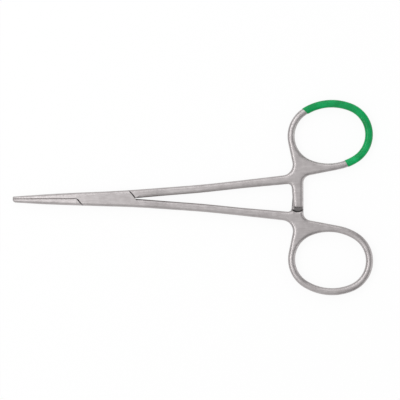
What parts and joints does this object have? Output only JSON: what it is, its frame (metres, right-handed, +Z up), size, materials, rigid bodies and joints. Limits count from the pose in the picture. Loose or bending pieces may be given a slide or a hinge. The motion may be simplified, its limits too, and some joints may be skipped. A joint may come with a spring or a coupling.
{
  "type": "hemostat forceps",
  "caption": "Straight box-lock artery forceps with fine serrated jaws, ratchet bars and two oval finger rings, one ring half coated in green, lying flat and closed.",
  "frame": {"origin": "centre of the bounding box's bottom face: the plane that the closed forceps lies on, half way between the jaw tips and the ends of the rings", "axes": "+X from the jaws to the finger rings, +Y to the coated ring, +Z up along the joint's pin"},
  "size_m": [0.1248, 0.0677, 0.0036],
  "materials": {
    "satin_steel": "satin",
    "satin_steel_tenon": "satin",
    "pin_steel": "satin",
    "green_coat": "semi-gloss"
  },
  "bodies": {
    "box_half": {"box_arm": "satin_steel", "joint_pin": "pin_steel"},
    "tenon_half": {"tenon_arm": "satin_steel_tenon", "ring_coating": "green_coat"}
  },
  "joints": [
    {"name": "box_joint", "type": "hinge", "parent": "box_half", "child": "tenon_half", "pos_m": [-0.02991, 0, 0.0018], "axis": [0, 0, 1], "range_deg": [0, 60]}
  ]
}
